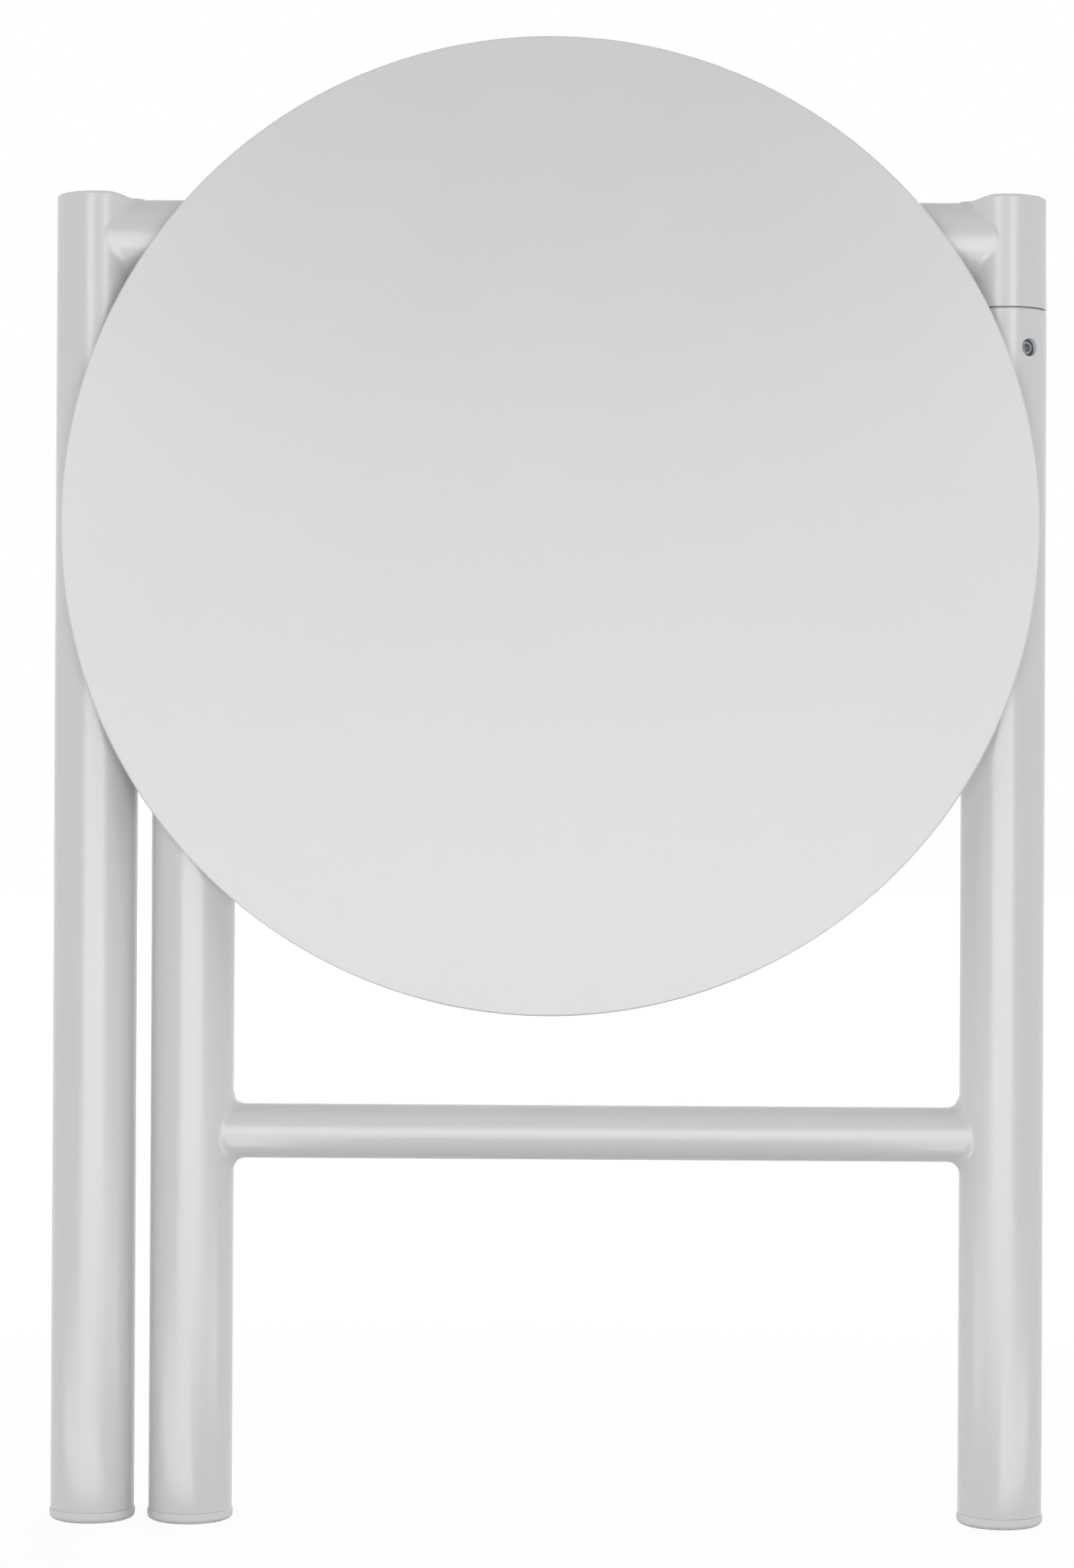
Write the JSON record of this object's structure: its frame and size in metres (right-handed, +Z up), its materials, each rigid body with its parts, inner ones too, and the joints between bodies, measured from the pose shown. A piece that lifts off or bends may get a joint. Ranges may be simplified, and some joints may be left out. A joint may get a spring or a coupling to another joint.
{
  "type": "folding stool",
  "caption": "Folding stool with a round flat seat that hangs in front of a tube frame; the right leg, lower bar and third leg swivel out together to stand under the raised seat.",
  "frame": {"origin": "on the floor, midway between the axes of the two outer posts", "axes": "+Z up, +X to the right of someone facing the front of the seat, -Y towards that person"},
  "size_m": [0.3336, 0.0375, 0.4952],
  "materials": {
    "coated_steel": "satin",
    "bare_steel": "satin",
    "nylon": "satin",
    "foot_plastic": "matte",
    "pad_rubber": "matte"
  },
  "bodies": {
    "fixed_frame": {"left_leg": "coated_steel", "left_leg_cap": "coated_steel", "left_foot": "foot_plastic", "upper_crossbar": "coated_steel", "weld_upper_left": "coated_steel", "weld_upper_right": "coated_steel", "hinge_post": "coated_steel", "hinge_post_cap": "coated_steel", "hinge_spindle": "bare_steel"},
    "swing_frame": {"right_leg": "coated_steel", "hinge_sleeve": "bare_steel", "hinge_bush_upper": "nylon", "hinge_bush_lower": "nylon", "hinge_screw": "bare_steel", "lower_crossbar": "coated_steel", "third_leg": "coated_steel", "third_leg_cap": "foot_plastic", "weld_lower_inner": "coated_steel", "weld_lower_right": "coated_steel", "right_foot": "foot_plastic", "third_foot": "foot_plastic"},
    "seat": {"seat_disc": "coated_steel", "knuckle_left": "coated_steel", "knuckle_right": "coated_steel", "knuckle_bush_left": "nylon", "knuckle_bush_right": "nylon", "saddle_left": "coated_steel", "saddle_right": "coated_steel", "knuckle_screw_left": "bare_steel", "knuckle_screw_right": "bare_steel", "support_post": "coated_steel", "support_weld": "coated_steel", "support_pad": "pad_rubber", "bumper_left": "pad_rubber", "bumper_right": "pad_rubber"}
  },
  "joints": [
    {"name": "leg_swing", "type": "hinge", "parent": "fixed_frame", "child": "swing_frame", "pos_m": [0.1525, 0, 0.4066], "axis": [0, 0, -1], "range_deg": [0, 304.1]},
    {"name": "seat_tilt", "type": "hinge", "parent": "fixed_frame", "child": "seat", "pos_m": [0, 0, 0.4302], "axis": [-1, 0, 0], "range_deg": [0, 91]}
  ]
}
